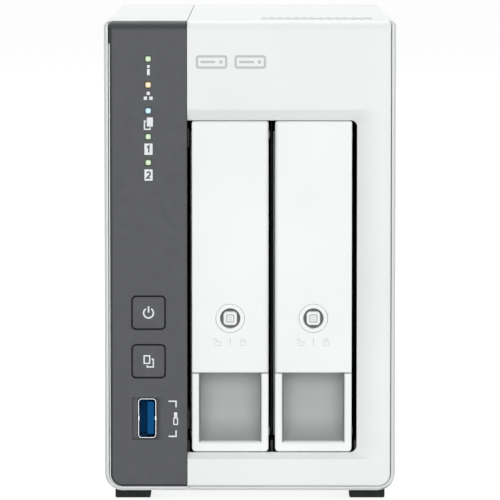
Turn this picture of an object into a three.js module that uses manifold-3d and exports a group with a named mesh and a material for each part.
// Two-bay network attached storage: a desktop tower with two slide-out drive trays.
// Millimetres, +Z up. The front faces -Y and +X is to the right of someone looking at it.
// The origin is at the centre of the footprint, on the surface that the feet stand on.
import * as THREE from "three";
import { ConvexGeometry } from "three/addons/geometries/ConvexGeometry.js";
import { mergeVertices } from "three/addons/utils/BufferGeometryUtils.js";
import Module from "manifold-3d";

const wasm = await Module();
wasm.setup();

// Driving dimensions of the case.
const WIDTH = 102;
const DEPTH = 219;
const BODY_HEIGHT = 165;
const FOOT_HEIGHT = 3.5;
const WALL = 1.4;
const TOP_CORNER = 2;
const BOTTOM_CORNER = 6;
const SEAM_GAP = 0.3;

// Places that follow from them.
const LEFT = -WIDTH / 2;
const RIGHT = WIDTH / 2;
const FRONT = -DEPTH / 2;
const REAR = DEPTH / 2;
const BOTTOM = FOOT_HEIGHT;
const TOP = FOOT_HEIGHT + BODY_HEIGHT;
const INNER_RIGHT = RIGHT - WALL;
const INNER_BOTTOM = BOTTOM + WALL;
const INNER_TOP = TOP - WALL;

// Front: the dark control panel fills the left of the face, up to PANEL_EDGE.
const PANEL_EDGE = -22;
const COVER_FRONT = FRONT + 1.2;
const FACE_RADIUS = 4;
const TOP_SEAM = FRONT + 4.7;
const PANEL_THICK = 2.2;
const PANEL_STEP_Z = 160.9;
const PANEL_WRAP = 1.3;
const BEZEL_THICK = 3;

// Bay opening and the dish that slopes down to it.
const BAY_RIGHT = 37.6;
const BAY_BOTTOM = 16.75;
const BAY_TOP = 133.9;
const BAY_CORNER = 2.3;
const DISH_DEPTH = 2;

// Drive trays.
const BAY_CENTRES = [-6.95, 22.25];
const TRAY_HALF = 13.45;
const TRAY_BOTTOM = 17.15;
const TRAY_TOP = 133.6;
const TRAY_FACE = FRONT + DISH_DEPTH;
const HANDLE_BOTTOM = 45.05;
const HANDLE_THICK = 2.4;
const POCKET_HALF = 10.9;
const POCKET_BOTTOM = 20.4;
const HEAD_FRONT = TRAY_FACE + 4.2;
const HEAD_BACK = TRAY_FACE + 12;
const PIN_Y = TRAY_FACE + 2.6;
const PIN_Z = TRAY_TOP - 2.4;
const PIN_RADIUS = 0.8;
const LOCK_Z = 64.2;
const LOCK_RADIUS = 5;

// A 3.5-inch drive standing on its long edge.
const DRIVE = { thick: 26.1, length: 147, width: 101.6 };
const DRIVE_FRONT = FRONT + 16;
const DRIVE_BACK = DRIVE_FRONT + DRIVE.length;
const DRIVE_MID_Z = 75.6;
const DRIVE_HOLES_FROM_BACK = [28.5, 70.1, 130.1];
const DRIVE_HOLE_X = -DRIVE.thick / 2 + 6.35;
const RAIL_HALF = 14;
const RAIL_THICK = 2.5;
const RAIL_END = DRIVE_BACK - 1;

// Controls.
const CONTROL_X = -35.55;
const LED_TOP_Z = 155.3;
const LED_PITCH = 9.05;
const LED_SIZE = 2;
const LED_NAMES = ["led_status", "led_network", "led_usb", "led_drive_1", "led_drive_2"];
const BUTTON = { opening: 12, size: 11.3, corner: 1.6 };
const BUTTON_Z = { power_button: 66.4, copy_button: 49.3 };
const FRONT_BOARD_Y = FRONT + 16;
const USB = { x: -36.1, z: 29.1, width: 6.4, height: 14, wall: 0.5, corner: 1.1 };

// Rear.
const REAR_PANEL_Y = 106.4;
const REAR_PANEL_THICK = 1.6;
const FAN = { x: 9, z: 126, size: 80, depth: 25, bore: 38.2, hub: 19, hole_pitch: 71.5 };
const FAN_BACK = REAR_PANEL_Y - 0.3;
const BOARD_FACE = -44.8;
const BOARD_THICK = 1.6;
const LAN_Z = { lan_jack_1: 77, lan_jack_2: 60 };
const REAR_USB_Z = { rear_usb_1: 43.6, rear_usb_2: 28.6 };
const JACK_Z = 16.2;
const RESET_Z = 92;

// Materials.
const plastic = (color, roughness = 0.45) =>
  new THREE.MeshStandardMaterial({ color, roughness, metalness: 0 });
const metal = (color, roughness = 0.35) =>
  new THREE.MeshStandardMaterial({ color, roughness, metalness: 0.9 });
const WHITE = plastic("#eef0ef");
const CHARCOAL = plastic("#606165");
const GREY = plastic("#a8acab", 0.5);
const BLACK = plastic("#1b1c1d", 0.6);
const RUBBER = plastic("#1f2222", 0.9);
const PAINTED = plastic("#e2e4e3", 0.5);
const STEEL = metal("#b4b8bb");
const DARK_STEEL = metal("#2a2b2d", 0.5);
const ALUMINIUM = metal("#c9ccce", 0.4);
const BOARD = plastic("#1d5a37", 0.5);
const BLUE = plastic("#1f5789", 0.4);
const LENS_GREEN = plastic("#d2dfcb", 0.3);
const LENS_AMBER = plastic("#eee7cc", 0.3);
const LENS_CYAN = plastic("#ceeaef", 0.3);

// Geometry helpers: each returns a manifold-3d solid made from a three.js geometry.

function solid(geometry) {
  const bare = geometry.index ? geometry.toNonIndexed() : geometry.clone();
  bare.deleteAttribute("normal");
  bare.deleteAttribute("uv");
  const merged = mergeVertices(bare, 1e-4);
  return new wasm.Manifold(
    new wasm.Mesh({
      numProp: 3,
      vertProperties: merged.attributes.position.array,
      triVerts: new Uint32Array(merged.index.array),
    }),
  );
}

const join = (...solids) => solids.flat().reduce((sum, next) => sum.add(next));
const cut = (base, ...tools) => tools.flat().reduce((rest, tool) => rest.subtract(tool), base);

function block(x0, x1, y0, y1, z0, z1) {
  const geometry = new THREE.BoxGeometry(x1 - x0, y1 - y0, z1 - z0);
  return solid(geometry.translate((x0 + x1) / 2, (y0 + y1) / 2, (z0 + z1) / 2));
}

// A block given by its middle in X and Z.
const post = (x, z, wide, tall, y0, y1) =>
  block(x - wide / 2, x + wide / 2, y0, y1, z - tall / 2, z + tall / 2);

function roundedRect(x0, y0, x1, y1, radii, Outline = THREE.Shape) {
  const [bl, br, tr, tl] = Array.isArray(radii) ? radii : [radii, radii, radii, radii];
  const outline = new Outline();
  outline.moveTo(x0 + bl, y0).lineTo(x1 - br, y0);
  if (br) outline.absarc(x1 - br, y0 + br, br, -Math.PI / 2, 0);
  outline.lineTo(x1, y1 - tr);
  if (tr) outline.absarc(x1 - tr, y1 - tr, tr, 0, Math.PI / 2);
  outline.lineTo(x0 + tl, y1);
  if (tl) outline.absarc(x0 + tl, y1 - tl, tl, Math.PI / 2, Math.PI);
  outline.lineTo(x0, y0 + bl);
  if (bl) outline.absarc(x0 + bl, y0 + bl, bl, Math.PI, Math.PI * 1.5);
  return outline;
}

// curveSegments 1 gives 2 chords to a corner, 2 gives 4, and so on.
function extruded(shape, depth, curveSegments) {
  return new THREE.ExtrudeGeometry(shape, { depth, curveSegments, bevelEnabled: false });
}

// An outline in X and Z, extruded along Y.
function prismY(shape, y0, y1, curveSegments = 2) {
  const geometry = extruded(shape, y1 - y0, curveSegments).rotateX(Math.PI / 2);
  return solid(geometry.translate(0, y1, 0));
}

// An outline in Y and Z, extruded along X.
function prismX(shape, x0, x1, curveSegments = 2) {
  const turn = new THREE.Matrix4().makeBasis(
    new THREE.Vector3(0, 1, 0),
    new THREE.Vector3(0, 0, 1),
    new THREE.Vector3(1, 0, 0),
  );
  return solid(extruded(shape, x1 - x0, curveSegments).applyMatrix4(turn).translate(x0, 0, 0));
}

// An outline in X and Y, extruded along Z.
const prismZ = (shape, z0, z1, curveSegments = 2) =>
  solid(extruded(shape, z1 - z0, curveSegments).translate(0, 0, z0));

function rodY(radius, y0, y1, x, z, sides = 16) {
  const geometry = new THREE.CylinderGeometry(radius, radius, y1 - y0, sides);
  return solid(geometry.translate(x, (y0 + y1) / 2, 0).translate(0, 0, z));
}

function rodX(radius, x0, x1, y, z, sides = 16) {
  const geometry = new THREE.CylinderGeometry(radius, radius, x1 - x0, sides).rotateZ(Math.PI / 2);
  return solid(geometry.translate((x0 + x1) / 2, y, z));
}

function rodZ(radius, z0, z1, x, y, sides = 12) {
  const geometry = new THREE.CylinderGeometry(radius, radius, z1 - z0, sides).rotateX(Math.PI / 2);
  return solid(geometry.translate(x, y, (z0 + z1) / 2));
}

function polygon(points) {
  return new THREE.Shape(points.map(([u, v]) => new THREE.Vector2(u, v)));
}

// A straight slot with round ends, as an outline.
const slot = (u, v, wide, tall, Outline = THREE.Shape) =>
  roundedRect(u - wide / 2, v - tall / 2, u + wide / 2, v + tall / 2, Math.min(wide, tall) / 2.001, Outline);

// Evenly spaced places around a middle.
const spread = (count, pitch, middle = 0) =>
  Array.from({ length: count }, (_, i) => middle + (i - (count - 1) / 2) * pitch);

const nas = new THREE.Group();

function place(name, made, material, parent = nas) {
  const mesh = made.getMesh();
  const position = new Float32Array(mesh.numVert * 3);
  for (let i = 0; i < mesh.numVert; i++) {
    position.set(mesh.vertProperties.subarray(i * mesh.numProp, i * mesh.numProp + 3), i * 3);
  }
  const indexed = new THREE.BufferGeometry()
    .setAttribute("position", new THREE.BufferAttribute(position, 3))
    .setIndex(new THREE.BufferAttribute(new Uint32Array(mesh.triVerts), 1));
  const geometry = indexed.toNonIndexed();
  geometry.computeVertexNormals();
  const part = new THREE.Mesh(geometry, material);
  part.name = name;
  parent.add(part);
}

// Outer covers: two C-shaped shells that meet along a seam on the top and the bottom.

function coverShell() {
  const outline = roundedRect(LEFT, BOTTOM, RIGHT, TOP, [
    BOTTOM_CORNER, BOTTOM_CORNER, TOP_CORNER, TOP_CORNER,
  ]);
  const inner = BOTTOM_CORNER - WALL;
  outline.holes.push(
    roundedRect(-INNER_RIGHT, INNER_BOTTOM, INNER_RIGHT, INNER_TOP, [
      inner, inner, TOP_CORNER - WALL, TOP_CORNER - WALL,
    ], THREE.Path),
  );
  const topNotch = block(-INNER_RIGHT, INNER_RIGHT, FRONT - 1, TOP_SEAM + SEAM_GAP, INNER_TOP - 1, TOP + 1);
  return cut(prismY(outline, COVER_FRONT, REAR, 3), topNotch);
}

// Upright ventilation slots through a side wall.
const sideVents = (x0, x1) =>
  spread(10, 5.6, 48).map((y) => prismX(slot(y, 46, 2.4, 44), x0, x1, 1));

function caseScrewTab(x, z) {
  const tab = block(x - 6, x + 6, REAR_PANEL_Y - 2, REAR_PANEL_Y - 0.2, z - 5, z + 5);
  return cut(tab, rodY(1.7, REAR_PANEL_Y - 3, REAR_PANEL_Y, x, z, 12));
}

const CASE_SCREWS = [
  { name: "case_screw_1", x: -43.8, z: 158 },
  { name: "case_screw_2", x: 43.8, z: 14 },
];

function covers() {
  const shell = coverShell();
  const everything = [FRONT - 5, REAR + 5, -5, TOP + 5];
  const leftSide = block(LEFT - 5, PANEL_EDGE - SEAM_GAP / 2, ...everything);
  const rightSide = block(PANEL_EDGE + SEAM_GAP / 2, RIGHT + 5, ...everything);
  const [screwLeft, ...screwsRight] = CASE_SCREWS;

  const left = cut(shell.intersect(leftSide), sideVents(LEFT - 1, LEFT + WALL + 1));
  place("left_cover", join(left, caseScrewTab(screwLeft.x, screwLeft.z)), WHITE);

  // Three staggered rows of short slots.
  const topVents = [14, 13, 14].flatMap((count, row) =>
    spread(count, 2.9, 23.7).map((x) =>
      block(x - 0.8, x + 0.8, FRONT + 20 + 7.5 * row, FRONT + 26 + 7.5 * row, INNER_TOP - 1, TOP + 1),
    ),
  );
  const bottomVents = spread(7, 6, 12).map((x) =>
    block(x - 1.2, x + 1.2, -40, 20, BOTTOM - 1, INNER_BOTTOM + 1),
  );
  const right = cut(
    shell.intersect(rightSide),
    sideVents(RIGHT - WALL - 1, RIGHT + 1),
    topVents,
    bottomVents,
  );
  place("right_cover", join(right, screwsRight.map(({ x, z }) => caseScrewTab(x, z))), WHITE);
}

// The curved front: rounded over at the top edge, only eased at the bottom.
const facePrism = () =>
  prismX(roundedRect(FRONT, 5.1, FRONT + 10, TOP, [0.8, 0, 0, FACE_RADIUS]), LEFT, RIGHT, 3);

// Layer by layer, the dish in the face narrows to the bay opening.
function dish() {
  const ring = (y, side, flat) => {
    const radius = BAY_CORNER + 6 * side;
    const outline = roundedRect(
      PANEL_EDGE,
      BAY_BOTTOM - 2 * flat,
      BAY_RIGHT + 9.4 * side,
      BAY_TOP + 3.7 * flat,
      [0, radius, radius, 0],
    );
    return outline.extractPoints(3).shape.map((p) => new THREE.Vector3(p.x, y, p.y));
  };
  const rings = [
    ring(FRONT - 1, 1, 1),
    ...[0, 0.12, 0.35, 0.65, 1].map((share) =>
      ring(FRONT + DISH_DEPTH * share, 1 - Math.sqrt(share), 1 - share),
    ),
    ring(FRONT + BEZEL_THICK + 1, 0, 0),
  ];
  const layers = rings.slice(1).map((next, i) => solid(new ConvexGeometry([...rings[i], ...next])));
  return join(layers);
}

const buttonOpening = (z, y0, y1) => {
  const half = BUTTON.opening / 2;
  return prismY(
    roundedRect(CONTROL_X - half, z - half, CONTROL_X + half, z + half, BUTTON.corner), y0, y1, 2,
  );
};

const ledHeights = LED_NAMES.map((_, i) => LED_TOP_Z - i * LED_PITCH);

function frontBezel() {
  const edge = INNER_RIGHT - SEAM_GAP;
  const flangeBack = FRONT + 8;
  const low = INNER_BOTTOM + 0.2;
  const face = roundedRect(-edge, low, edge, TOP, [4.3, 4.3, 1.8, 1.8]);
  const flange = roundedRect(-edge, low, edge, INNER_TOP - SEAM_GAP, [4.3, 4.3, 0.5, 0.5]);
  const hollow = roundedRect(-edge + 1.8, low + 1.8, edge - 1.8, INNER_TOP - 2, [2.6, 2.6, 0.5, 0.5]);
  const body = cut(
    join(prismY(face, FRONT, TOP_SEAM, 3).intersect(facePrism()), prismY(flange, FRONT + 3, flangeBack, 3)),
    prismY(hollow, FRONT + BEZEL_THICK, flangeBack + 1),
    dish(),
  );
  // Under the control panel the face is set back, with a thin rim left standing beside it.
  const inlayBack = FRONT + PANEL_THICK + 0.1;
  const inlay = [
    block(-INNER_RIGHT + 0.65, PANEL_EDGE, FRONT - 1, inlayBack, 0, TOP + 1),
    block(LEFT, PANEL_EDGE, FRONT - 1, inlayBack, PANEL_STEP_Z - 0.2, TOP + 1),
    block(LEFT, PANEL_EDGE, FRONT - 1, TOP_SEAM + 1, TOP - PANEL_WRAP - 0.1, TOP + 1),
  ];
  const back = [FRONT + 1, FRONT + BEZEL_THICK + 1];
  const windows = [
    block(CONTROL_X - 3, CONTROL_X + 3, ...back, ledHeights.at(-1) - 3, LED_TOP_Z + 3),
    ...Object.values(BUTTON_Z).map((z) => post(CONTROL_X, z, 13.6, 13.6, ...back)),
    post(USB.x, USB.z, 7.4, 15, ...back),
  ];
  place("front_bezel", cut(body, inlay, windows), WHITE);
}

function controlPanel() {
  const left = -INNER_RIGHT + 0.7;
  const right = PANEL_EDGE - 0.05;
  const y1 = FRONT + PANEL_THICK;
  const plate = prismY(roundedRect(left, 5.4, right, TOP, [3.9, 0.6, 0, 1.5]), FRONT, y1, 3);
  const wide = roundedRect(left - 0.4, PANEL_STEP_Z, right, TOP, [0, 0, 0, 1.8]);
  const wrap = prismY(wide, FRONT, TOP_SEAM, 3).subtract(
    block(LEFT, 0, y1, REAR, 0, TOP - PANEL_WRAP),
  );
  // The port sits in a pocket that is deepest on its left and ramps up to the face on its right.
  const pocket = prismZ(
    polygon([
      [-41.4, FRONT - 1], [-41.4, FRONT + 1.4], [-33, FRONT + 1.4], [-30.3, FRONT + 0.05], [-30.3, FRONT - 1],
    ]), 21.6, 36.5,
  );
  const holes = [
    ...ledHeights.map((z) => post(CONTROL_X, z, LED_SIZE + 0.2, LED_SIZE + 0.2, FRONT - 1, y1 + 1)),
    ...Object.values(BUTTON_Z).map((z) => buttonOpening(z, FRONT - 1, y1 + 1)),
    usbBlock(0.15, FRONT - 1, y1 + 1),
  ];
  place("control_panel", cut(join(plate, wrap).intersect(facePrism()), pocket, holes), CHARCOAL);
}

// The outline of the upright USB receptacle, grown by some clearance.
function usbBlock(grow, y0, y1) {
  const w = USB.width / 2 + grow;
  const h = USB.height / 2 + grow;
  return prismY(
    roundedRect(USB.x - w, USB.z - h, USB.x + w, USB.z + h, Math.max(USB.corner + grow, 0.2)), y0, y1, 2,
  );
}

function frontControls() {
  const half = BUTTON.size / 2;
  for (const [name, z] of Object.entries(BUTTON_Z)) {
    const cap = roundedRect(CONTROL_X - half, z - half, CONTROL_X + half, z + half, BUTTON.corner - 0.3);
    const flange = post(CONTROL_X, z, 12.8, 12.8, FRONT + 2.6, FRONT + 3.6);
    const stem = post(CONTROL_X, z, 4, 4, FRONT + 3, FRONT + 11.6);
    place(name, join(prismY(cap, FRONT + 0.05, FRONT + 3), flange, stem), CHARCOAL);
  }

  const lenses = [LENS_GREEN, LENS_AMBER, LENS_CYAN, LENS_GREEN, LENS_GREEN];
  LED_NAMES.forEach((name, i) => {
    const pipe = post(CONTROL_X, ledHeights[i], LED_SIZE, LED_SIZE, FRONT + 0.05, FRONT_BOARD_Y - 0.3);
    const collar = post(CONTROL_X, ledHeights[i], 3.4, 3.4, FRONT + 4, FRONT + 5.2);
    place(name, join(pipe, collar), lenses[i]);
  });

  const board = block(-47, -24.4, FRONT_BOARD_Y, FRONT_BOARD_Y + BOARD_THICK, 15, 160);
  const switches = Object.values(BUTTON_Z).flatMap((z) => [
    post(CONTROL_X, z, 6, 6, FRONT_BOARD_Y - 2.2, FRONT_BOARD_Y + 0.1),
    rodY(1.7, FRONT_BOARD_Y - 3.2, FRONT_BOARD_Y - 2.1, CONTROL_X, z, 12),
  ]);
  place("front_board", join(board, switches), BOARD);

  const mouth = FRONT + 0.9;
  const root = FRONT_BOARD_Y - 0.3;
  place("front_usb_shell", cut(usbBlock(0, mouth, root), usbBlock(-USB.wall, mouth - 1, root + 1)), STEEL);
  const tongue = block(-36.3, -34.1, mouth + 1.1, root - 3, USB.z - 5.7, USB.z + 5.7);
  place("front_usb_core", join(tongue, usbBlock(-USB.wall - 0.05, root - 4, root - 0.1)), BLUE);
}

// Chassis: the folded steel base, which also carries the boards, and the cage that guides the trays.

function chassisBase() {
  const floor = block(-49.2, 49.2, FRONT + 8.6, REAR_PANEL_Y - 2.3, 5.1, 6.3);
  const corners = [
    block(-60, -45.4, FRONT, REAR, 0, 9.7),
    block(45.4, 60, FRONT, REAR, 0, 9.7),
  ];
  const leftWall = block(-49.2, -48.2, FRONT + 12, REAR_PANEL_Y - 2.3, 9.8, 150);
  const foot = block(-49.2, -45.3, FRONT + 12, REAR_PANEL_Y - 2.3, 9.6, 10.8);
  const riser = block(-46.4, -45.3, FRONT + 12, REAR_PANEL_Y - 2.3, 5.4, 10.8);
  const rests = [-16, 30].map((x) => block(x - 3, x + 3, FRONT + 10, 50, 6.2, 15));
  const standoffs = [-62, 90].flatMap((y) =>
    [18, 124].map((z) => rodX(2, -48.4, BOARD_FACE - BOARD_THICK - 0.1, y, z, 10)),
  );
  const wallWindow = prismX(roundedRect(-40, 40, 70, 110, 6), -50, -47, 1);
  place(
    "chassis_base",
    join(cut(floor, corners), cut(leftWall, wallWindow), foot, riser, rests, standoffs),
    STEEL,
  );
}

// The cage is five sheets: two sides, a top and a bottom with guide ribs, and a divider.
function driveCage() {
  const y0 = FRONT + 3.4;
  const y1 = DRIVE_BACK + 4;
  const inner = { x0: -21.9, x1: 37.5, z0: 16.6, z1: 134.7 };
  const middle = (BAY_CENTRES[0] + BAY_CENTRES[1]) / 2;
  const windows = (x0, x1) =>
    [-60, -14, 32].map((y) => prismX(roundedRect(y - 16, 44, y + 16, 108, 5), x0, x1, 1));

  // Small stops just inside the opening stand on the left side's sheet.
  const leftStops = [
    block(inner.x0 - 0.2, -21.3, FRONT + 4, FRONT + 12, 124.1, 130.8),
    block(inner.x0 - 0.2, -21.3, FRONT + 4, FRONT + 12, 25, 31.9),
    block(inner.x0 - 0.2, -21.2, FRONT + 4, FRONT + 18, inner.z0 + 0.4, 20.9),
  ];
  const leftSheet = block(inner.x0 - 1, inner.x0, y0, y1, inner.z0, inner.z1);
  place("cage_left", cut(join(leftSheet, leftStops), windows(-30, -21)), DARK_STEEL);

  const rightStop = block(36.6, inner.x1 + 0.2, FRONT + 4, FRONT + 18, inner.z0 + 0.4, 20.9);
  const rightSheet = block(inner.x1, inner.x1 + 1, y0, y1, inner.z0, inner.z1);
  place("cage_right", cut(join(rightSheet, rightStop), windows(36, 40)), DARK_STEEL);

  // Pairs of ribs over and under each bay guide the tray's drive strips.
  const ribs = (z0, z1) =>
    BAY_CENTRES.flatMap((bay) =>
      [-5, 5].map((side) => {
        const x = bay + DRIVE_HOLE_X + side;
        return block(x - 0.5, x + 0.5, FRONT + 24, y1 - 3, z0, z1);
      }),
    );
  const across = [inner.x0 - 1, inner.x1 + 1, y0, y1];
  const topSheet = block(...across, inner.z1 + SEAM_GAP, inner.z1 + 1.3);
  place("cage_top", join(topSheet, ribs(130.4, inner.z1 + 0.5)), DARK_STEEL);
  const bottomSheet = block(...across, inner.z0 - 1.3, inner.z0 - SEAM_GAP);
  place("cage_bottom", join(bottomSheet, ribs(inner.z0 - 0.5, 20.8)), DARK_STEEL);

  const divider = block(middle - 0.3, middle + 0.3, FRONT + 20, y1 - 3, inner.z0, inner.z1);
  const dividerStop = block(middle - 0.4, middle + 0.4, FRONT + 5, FRONT + 20.1, inner.z0, 20.9);
  place("cage_divider", cut(join(divider, dividerStop), windows(5, 10)), DARK_STEEL);
}

// One tray and what rides on it, built around its own bay's middle.
function tray(number, bay) {
  const group = new THREE.Group();
  group.position.x = bay;
  nas.add(group);
  const add = (name, made, material) => place(`${name}_${number}`, made, material, group);
  const driveLow = DRIVE_MID_Z - DRIVE.width / 2;
  const driveHigh = DRIVE_MID_Z + DRIVE.width / 2;

  // Front frame: a U around the finger pocket, closed above by the handle.
  const frame = roundedRect(-TRAY_HALF, TRAY_BOTTOM, TRAY_HALF, HANDLE_BOTTOM - 0.3, [1.3, 1.3, 0, 0]);
  const mouth = block(-POCKET_HALF, POCKET_HALF, FRONT, HEAD_FRONT + 1, POCKET_BOTTOM, 60);
  add("tray_front", cut(prismY(frame, TRAY_FACE, HEAD_FRONT - 0.1), mouth), WHITE);

  // Carrier: the head with its finger scoop, the two rails and a thin side web.
  const head = block(-13.2, 13.2, HEAD_FRONT, HEAD_BACK, 18, PIN_Z + 1.5);
  const scoop = prismX(
    roundedRect(FRONT - 5, POCKET_BOTTOM, TRAY_FACE + 10.4, 55.5, [0, 3, 5, 0]), -POCKET_HALF, POCKET_HALF, 2,
  );
  const mechanism = block(-12, 12, FRONT, TRAY_FACE + 8.5, 57.5, TRAY_TOP + 1);
  const ears = [-12.7, 12.7].map((x) =>
    join(
      rodX(1.5, x - 0.5, x + 0.5, PIN_Y, PIN_Z),
      block(x - 0.5, x + 0.5, PIN_Y, HEAD_FRONT + 0.2, PIN_Z - 1.5, PIN_Z + 1.5),
    ),
  );
  // The turned lock's cam goes behind this tab and keeps the handle shut.
  const keeper = block(6.4, 10.1, TRAY_FACE + 4.9, TRAY_FACE + 6.2, 57.4, 67);
  const railAt = (z0, z1) => block(-RAIL_HALF, RAIL_HALF, HEAD_BACK - 1, RAIL_END, z0, z1);
  const rails = [
    railAt(driveHigh + 0.5, driveHigh + 0.5 + RAIL_THICK),
    railAt(driveLow - 0.5 - RAIL_THICK, driveLow - 0.5),
  ];
  const webX = [-RAIL_HALF, -RAIL_HALF + 0.75];
  const web = block(...webX, HEAD_BACK - 1, RAIL_END, driveLow - 1, driveHigh + 1);
  const webWindows = spread(3, 46, -20).map((y) =>
    prismX(roundedRect(y - 19, driveLow + 12, y + 19, driveHigh - 12, 4), -RAIL_HALF - 1, -12, 1),
  );
  const holeYs = DRIVE_HOLES_FROM_BACK.map((d) => DRIVE_BACK - d);
  const pinHoles = holeYs.flatMap((y) => [
    rodZ(1.9, driveHigh - 1, driveHigh + 5, DRIVE_HOLE_X, y, 8),
    rodZ(1.9, driveLow - 5, driveLow + 1, DRIVE_HOLE_X, y, 8),
  ]);
  const pinBore = rodX(PIN_RADIUS + 0.1, -20, 20, PIN_Y, PIN_Z);
  add(
    "tray_carrier",
    cut(join(cut(head, scoop, mechanism), keeper, ears, rails, web), webWindows, pinHoles, pinBore),
    GREY,
  );

  // Strips that snap on over the rails; their pins reach into the drive's side holes.
  const strip = (away, towards) => {
    const bar = prismZ(
      roundedRect(DRIVE_HOLE_X - 4, FRONT + 26, DRIVE_HOLE_X + 4, RAIL_END - 8, 2),
      Math.min(away, towards), Math.max(away, towards), 1,
    );
    const reach = towards > away ? driveLow + 2.2 : driveHigh - 2.2;
    const pins = holeYs.map((y) => {
      const ends = [(away + towards) / 2, reach].sort((a, b) => a - b);
      return rodZ(1.4, ...ends, DRIVE_HOLE_X, y, 8);
    });
    return join(bar, pins);
  };
  const railTop = driveHigh + 0.5 + RAIL_THICK;
  const railLow = driveLow - 0.5 - RAIL_THICK;
  add("upper_drive_strip", strip(railTop + 2.2, railTop + 0.3), BLACK);
  add("lower_drive_strip", strip(railLow - 2.2, railLow - 0.3), BLACK);

  // The hard drive, with its side holes and the notch where its connector is reached.
  const half = DRIVE.thick / 2;
  const casting = block(-half, half, DRIVE_FRONT, DRIVE_BACK, driveLow, driveHigh);
  const lidStep = cut(
    block(half - 2.2, half + 1, DRIVE_FRONT - 1, DRIVE_BACK + 1, driveLow - 1, driveHigh + 1),
    prismX(
      roundedRect(DRIVE_FRONT + 2, driveLow + 1.4, DRIVE_BACK - 4, driveHigh - 1.4, 9), half - 3, half + 2, 2,
    ),
  );
  const driveHoles = holeYs.flatMap((y) => [
    rodZ(1.8, driveHigh - 3, driveHigh + 1, DRIVE_HOLE_X, y, 8),
    rodZ(1.8, driveLow - 1, driveLow + 3, DRIVE_HOLE_X, y, 8),
  ]);
  const notch = block(-half - 1, -half + 6.6, DRIVE_BACK - 6, DRIVE_BACK + 1, driveLow + 5, driveLow + 48);
  add("hard_drive", cut(casting, lidStep, driveHoles, notch), ALUMINIUM);

  trayHandle(add);
}

function trayHandle(add) {
  // Face plate, its top edge rounded so that it clears the bezel as it swings.
  const back = TRAY_FACE + HANDLE_THICK;
  const side = prismX(
    roundedRect(TRAY_FACE, HANDLE_BOTTOM, back, TRAY_TOP, [0.5, 0.5, 0, 1.2]), -TRAY_HALF, TRAY_HALF, 2,
  );
  const outline = roundedRect(-TRAY_HALF, HANDLE_BOTTOM - 1, TRAY_HALF, TRAY_TOP, [0, 0, 0.9, 0.9]);
  const plate = side.intersect(prismY(outline, FRONT, back + 1));
  const ribs = [-11, 11].map((x) =>
    block(x - 0.6, x + 0.6, back - 0.2, TRAY_FACE + 6, 61, PIN_Z - 2.2),
  );
  const knuckles = [
    [-11.6, -4],
    [4, 11.6],
  ].map((ends) => rodX(1.75, ...ends, PIN_Y, PIN_Z));
  const boss = rodY(LOCK_RADIUS + 1, TRAY_FACE + 1, TRAY_FACE + 6, 0, LOCK_Z, 24);
  const earRelief = [-12.8, 12.8].map((x) =>
    block(x - 0.9, x + 0.9, PIN_Y - 1.75, back + 1, PIN_Z - 1.9, TRAY_TOP + 1),
  );
  const springPocket = rodX(2, -4, 4, PIN_Y, PIN_Z);
  const pinBore = rodX(PIN_RADIUS + 0.2, -20, 20, PIN_Y, PIN_Z);
  const lockBore = rodY(LOCK_RADIUS + 0.15, FRONT, TRAY_FACE + 7, 0, LOCK_Z, 24);
  add(
    "tray_handle",
    cut(join(plate, ribs, knuckles, boss), earRelief, springPocket, pinBore, lockBore),
    WHITE,
  );
  add("handle_pin", rodX(PIN_RADIUS, -13.1, 13.1, PIN_Y, PIN_Z, 12), STEEL);

  // Torsion spring: the coil round the pin, one leg behind the handle and one by the carrier.
  const coil = cut(rodX(1.6, -3.6, 3.6, PIN_Y, PIN_Z, 12), rodX(1, -5, 5, PIN_Y, PIN_Z, 12));
  const legs = [
    block(-3.6, -3, back + 0.3, back + 0.9, PIN_Z - 12, PIN_Z - 1),
    block(3, 3.6, PIN_Y + 0.9, PIN_Y + 1.5, PIN_Z - 9, PIN_Z + 0.2),
  ];
  add("handle_spring", join(coil, legs), STEEL);

  // Lock: a barrel with a square post standing in a round keyway, and a cam behind it.
  const face = TRAY_FACE + 0.3;
  const barrel = rodY(LOCK_RADIUS, face, TRAY_FACE + 6.8, 0, LOCK_Z, 24);
  const keyway = cut(
    rodY(3.6, face - 1, face + 2, 0, LOCK_Z, 24),
    prismY(roundedRect(-2.5, LOCK_Z - 2.5, 2.5, LOCK_Z + 2.5, 1), face - 2, face + 3, 1),
  );
  const mark = post(0, LOCK_Z, 2.6, 2.6, face - 1, face + 0.3);
  const cam = block(-1.6, 1.6, TRAY_FACE + 6.6, TRAY_FACE + 7.8, LOCK_Z - 1.6, LOCK_Z + 9.6);
  add("tray_lock", join(cut(barrel, keyway, mark), cam), WHITE);
}

// Electronics behind the trays.

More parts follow.
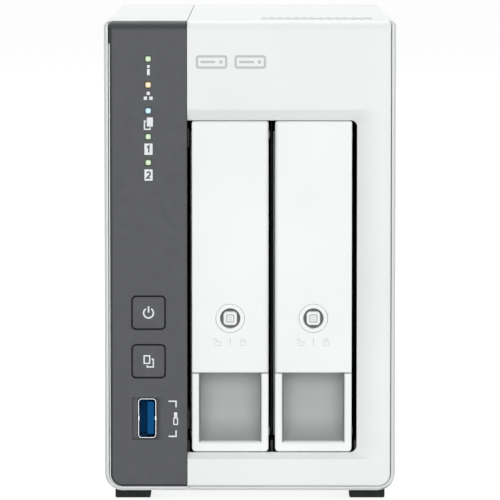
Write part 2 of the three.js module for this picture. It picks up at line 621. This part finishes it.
function boards() {
  const connectors = BAY_CENTRES.map((bay) => {
    const x = bay - DRIVE.thick / 2 + 3.4;
    return block(x - 2.4, x + 2.4, DRIVE_BACK - 5.4, DRIVE_BACK + 4.5, 31, 71);
  });
  const y = DRIVE_BACK + 4.4;
  const plane = join(
    block(-23, 38, y, y + BOARD_THICK, 18, 82),
    block(-43.4, -22, y, y + BOARD_THICK, 32, 58),
  );
  place("backplane_board", join(plane, connectors), BOARD);

  const sheet = block(BOARD_FACE - BOARD_THICK, BOARD_FACE, -68, 104, 11.1, 134);
  const slotted = cut(
    block(BOARD_FACE - 0.1, BOARD_FACE + 8, y - 2.4, y + 4, 30, 60),
    block(BOARD_FACE + 1, BOARD_FACE + 9, y - 0.3, y + BOARD_THICK + 0.3, 31.5, 58.5),
  );
  const chips = [
    block(BOARD_FACE - 0.1, BOARD_FACE + 1.4, -22, -1, 76, 97),
    block(BOARD_FACE - 0.1, BOARD_FACE + 1.2, 8, 18, 76, 90),
    block(BOARD_FACE - 0.1, BOARD_FACE + 1.2, 8, 18, 94, 108),
    block(BOARD_FACE - 0.1, BOARD_FACE + 8.5, 90, 98.2, RESET_Z - 3, RESET_Z + 3),
  ];
  place("main_board", join(sheet, slotted, chips), BOARD);

  const sinkFoot = BOARD_FACE + 1.7;
  const fins = spread(9, 4.2, -11.5).map((at) => block(sinkFoot + 1.8, sinkFoot + 13, at - 0.7, at + 0.7, 68, 105));
  place("heat_sink", join(block(sinkFoot, sinkFoot + 2, -30, 7, 68, 105), fins), ALUMINIUM);
}

// An upright LAN socket: stepped cavity for the plug and its latch, and a comb of contacts inside.
function lanJack(name, z) {
  const x0 = BOARD_FACE + 0.3;
  const body = block(x0, x0 + 13, 87, 108.6, z - 8, z + 8);
  const cavity = join(
    block(x0 + 2.2, x0 + 9.4, 93, 110, z - 5.9, z + 5.9),
    block(x0 + 9.3, x0 + 11.2, 93, 110, z - 3, z + 3),
  );
  const contacts = spread(8, 1.02, z).map((at) => block(x0 + 2, x0 + 3, 94, 105, at - 0.2, at + 0.2));
  place(name, join(cut(body, cavity), contacts), STEEL);
}

function rearPorts() {
  for (const [name, z] of Object.entries(LAN_Z)) lanJack(name, z);

  for (const [name, z] of Object.entries(REAR_USB_Z)) {
    const x0 = BOARD_FACE + 0.3;
    const shell = cut(
      block(x0, x0 + 5.9, 94, 108.8, z - 6.8, z + 6.8),
      block(x0 + 0.5, x0 + 5.4, 97, 110, z - 6.3, z + 6.3),
    );
    place(name, join(shell, block(x0 + 1, x0 + 2.9, 96, 107.4, z - 5.6, z + 5.6)), STEEL);
  }

  const x0 = BOARD_FACE + 0.3;
  const body = block(x0, x0 + 10.6, 94, 108.2, JACK_Z - 4.5, JACK_Z + 4.5);
  const bore = rodY(3.2, 98, 110, x0 + 5.4, JACK_Z, 20);
  place("power_jack", join(cut(body, bore), rodY(1, 96, 107, x0 + 5.4, JACK_Z, 10)), BLACK);

  const resetX = x0 + 5;
  place("reset_button", rodY(1.1, 99, 107.4, resetX, RESET_Z, 12), BLACK);
}

function rearPanel() {
  const edge = INNER_RIGHT - SEAM_GAP;
  const outline = roundedRect(-edge, INNER_BOTTOM + 0.3, edge, INNER_TOP - 0.3, [4.3, 4.3, 0.5, 0.5]);
  const hole = (x, z, wide, tall, radius = 0) =>
    outline.holes.push(
      roundedRect(x - wide / 2, z - tall / 2, x + wide / 2, z + tall / 2, radius, THREE.Path),
    );

  // Honeycomb in front of the fan.
  const pitch = 10;
  const reach = 39.5;
  for (let row = -6; row <= 6; row++) {
    for (let col = -6; col <= 6; col++) {
      const x = (col + (row % 2 ? 0.5 : 0)) * pitch;
      const z = row * pitch * Math.sin(Math.PI / 3);
      if (Math.hypot(x, z) + pitch / 2 < reach) outline.holes.push(hexagon(FAN.x + x, FAN.z + z, 4.9));
    }
  }

  const jackX = BOARD_FACE + 0.3;
  Object.values(LAN_Z).forEach((z) => hole(jackX + 6.5, z, 13.5, 16.5));
  Object.values(REAR_USB_Z).forEach((z) => hole(jackX + 2.95, z, 6.3, 14));
  hole(jackX + 5.3, JACK_Z, 11.2, 9.6, 0.6);
  hole(38, 40, 3.2, 7.2, 0.5);
  spread(5, 7, 6).forEach((x) => outline.holes.push(slot(x, 50, 3, 46, THREE.Path)));

  const drilled = [
    rodY(1.5, 100, 112, jackX + 5, RESET_Z, 12),
    ...fanScrewPlaces().map(({ x, z }) => rodY(2.2, 100, 112, x, z, 12)),
    ...CASE_SCREWS.map(({ x, z }) => rodY(1.8, 100, 112, x, z, 12)),
  ];
  const plate = prismY(outline, REAR_PANEL_Y, REAR_PANEL_Y + REAR_PANEL_THICK, 1);
  place("rear_panel", cut(plate, drilled), PAINTED);
}

function hexagon(x, z, radius) {
  const corners = Array.from({ length: 6 }, (_, i) => {
    const angle = (i + 0.5) * (Math.PI / 3);
    return new THREE.Vector2(x + radius * Math.cos(angle), z + radius * Math.sin(angle));
  });
  return new THREE.Path(corners);
}

// Fan: frame with four struts to the motor mount, and a rotor of seven pitched blades.

const fanScrewPlaces = () =>
  [-1, 1].flatMap((u) =>
    [-1, 1].map((v) => ({ x: FAN.x + (u * FAN.hole_pitch) / 2, z: FAN.z + (v * FAN.hole_pitch) / 2 })),
  );

function fan() {
  const half = FAN.size / 2;
  const y1 = FAN_BACK;
  const y0 = y1 - FAN.depth;
  const outline = roundedRect(FAN.x - half, FAN.z - half, FAN.x + half, FAN.z + half, 3);
  const waist = [-1, 1].flatMap((u) => [
    post(FAN.x + u * half, FAN.z, 4, 46, y0 + 4, y1 - 4),
    post(FAN.x, FAN.z + u * half, 46, 4, y0 + 4, y1 - 4),
  ]);
  const ring = cut(
    prismY(outline, y0, y1, 1),
    rodY(FAN.bore, y0 - 1, y1 + 1, FAN.x, FAN.z, 36),
    waist,
    fanScrewPlaces().map(({ x, z }) => rodY(2, y0 - 1, y1 + 1, x, z, 8)),
  );
  const mount = rodY(17, y1 - 3.2, y1 - 0.6, FAN.x, FAN.z, 24);
  const struts = [45, 135, 225, 315].map((degrees) => {
    const bar = new THREE.BoxGeometry(24, 2.6, 2.8).translate(27.5, 0, 0);
    bar.rotateY(THREE.MathUtils.degToRad(degrees));
    return solid(bar.translate(FAN.x, y1 - 1.9, FAN.z));
  });
  place("fan_frame", join(ring, mount, struts), BLACK);

  const hub = cut(
    rodY(FAN.hub, y0 + 1.5, y1 - 5, FAN.x, FAN.z, 24),
    rodY(FAN.hub - 2, y0 + 4, y1 - 4, FAN.x, FAN.z, 24),
  );
  const blades = Array.from({ length: 7 }, (_, i) => {
    const blade = new THREE.BoxGeometry(18.6, 17, 1.4).translate(FAN.hub + 7.8, 0, 0);
    blade.rotateX(THREE.MathUtils.degToRad(52));
    blade.rotateY((i / 7) * Math.PI * 2);
    return solid(blade.translate(FAN.x, (y0 + y1) / 2 - 1.6, FAN.z));
  });
  const spindle = rodY(1.6, y0 + 3, y1 - 3.7, FAN.x, FAN.z, 12);
  const bladeSpace = rodY(37.2, y0 + 1, y1 - 4.4, FAN.x, FAN.z, 36);
  place("fan_rotor", join(hub, blades, spindle).intersect(bladeSpace), BLACK);
}

function screw(name, x, z, headY) {
  const head = rodY(3, headY, headY + 1.4, x, z, 12);
  const cross = [
    post(x, z, 3.4, 0.8, headY + 0.5, headY + 2),
    post(x, z, 0.8, 3.4, headY + 0.5, headY + 2),
  ];
  const shank = rodY(1.4, headY - 6, headY + 0.1, x, z, 8);
  place(name, join(cut(head, cross), shank), STEEL);
}

function fasteners() {
  const headY = REAR_PANEL_Y + REAR_PANEL_THICK + 0.02;
  fanScrewPlaces().forEach(({ x, z }, i) => screw(`fan_screw_${i + 1}`, x, z, headY));
  CASE_SCREWS.forEach(({ name, x, z }) => screw(name, x, z, headY));
}

// Feet: pads under the corners, their outer edges raised to follow the case's rounded edge.
function feet() {
  const footprints = { front: [FRONT + 8, FRONT + 21], rear: [REAR - 21, REAR - 8] };
  for (const [end, [y0, y1]] of Object.entries(footprints)) {
    for (const [side, sign] of Object.entries({ left: -1, right: 1 })) {
      const profile = [
        [35.1, 0], [47.55, 0], [47.55, BOTTOM + 0.42], [45.4, BOTTOM - 0.05], [35.1, BOTTOM - 0.05],
      ].map(([x, z]) => [sign * x, z]);
      if (sign < 0) profile.reverse();
      place(`foot_${end}_${side}`, prismY(polygon(profile), y0, y1), RUBBER);
    }
  }
}

covers();
frontBezel();
controlPanel();
frontControls();
chassisBase();
driveCage();
BAY_CENTRES.forEach((bay, i) => tray(i + 1, bay));
boards();
rearPorts();
rearPanel();
fan();
fasteners();
feet();

export default nas;
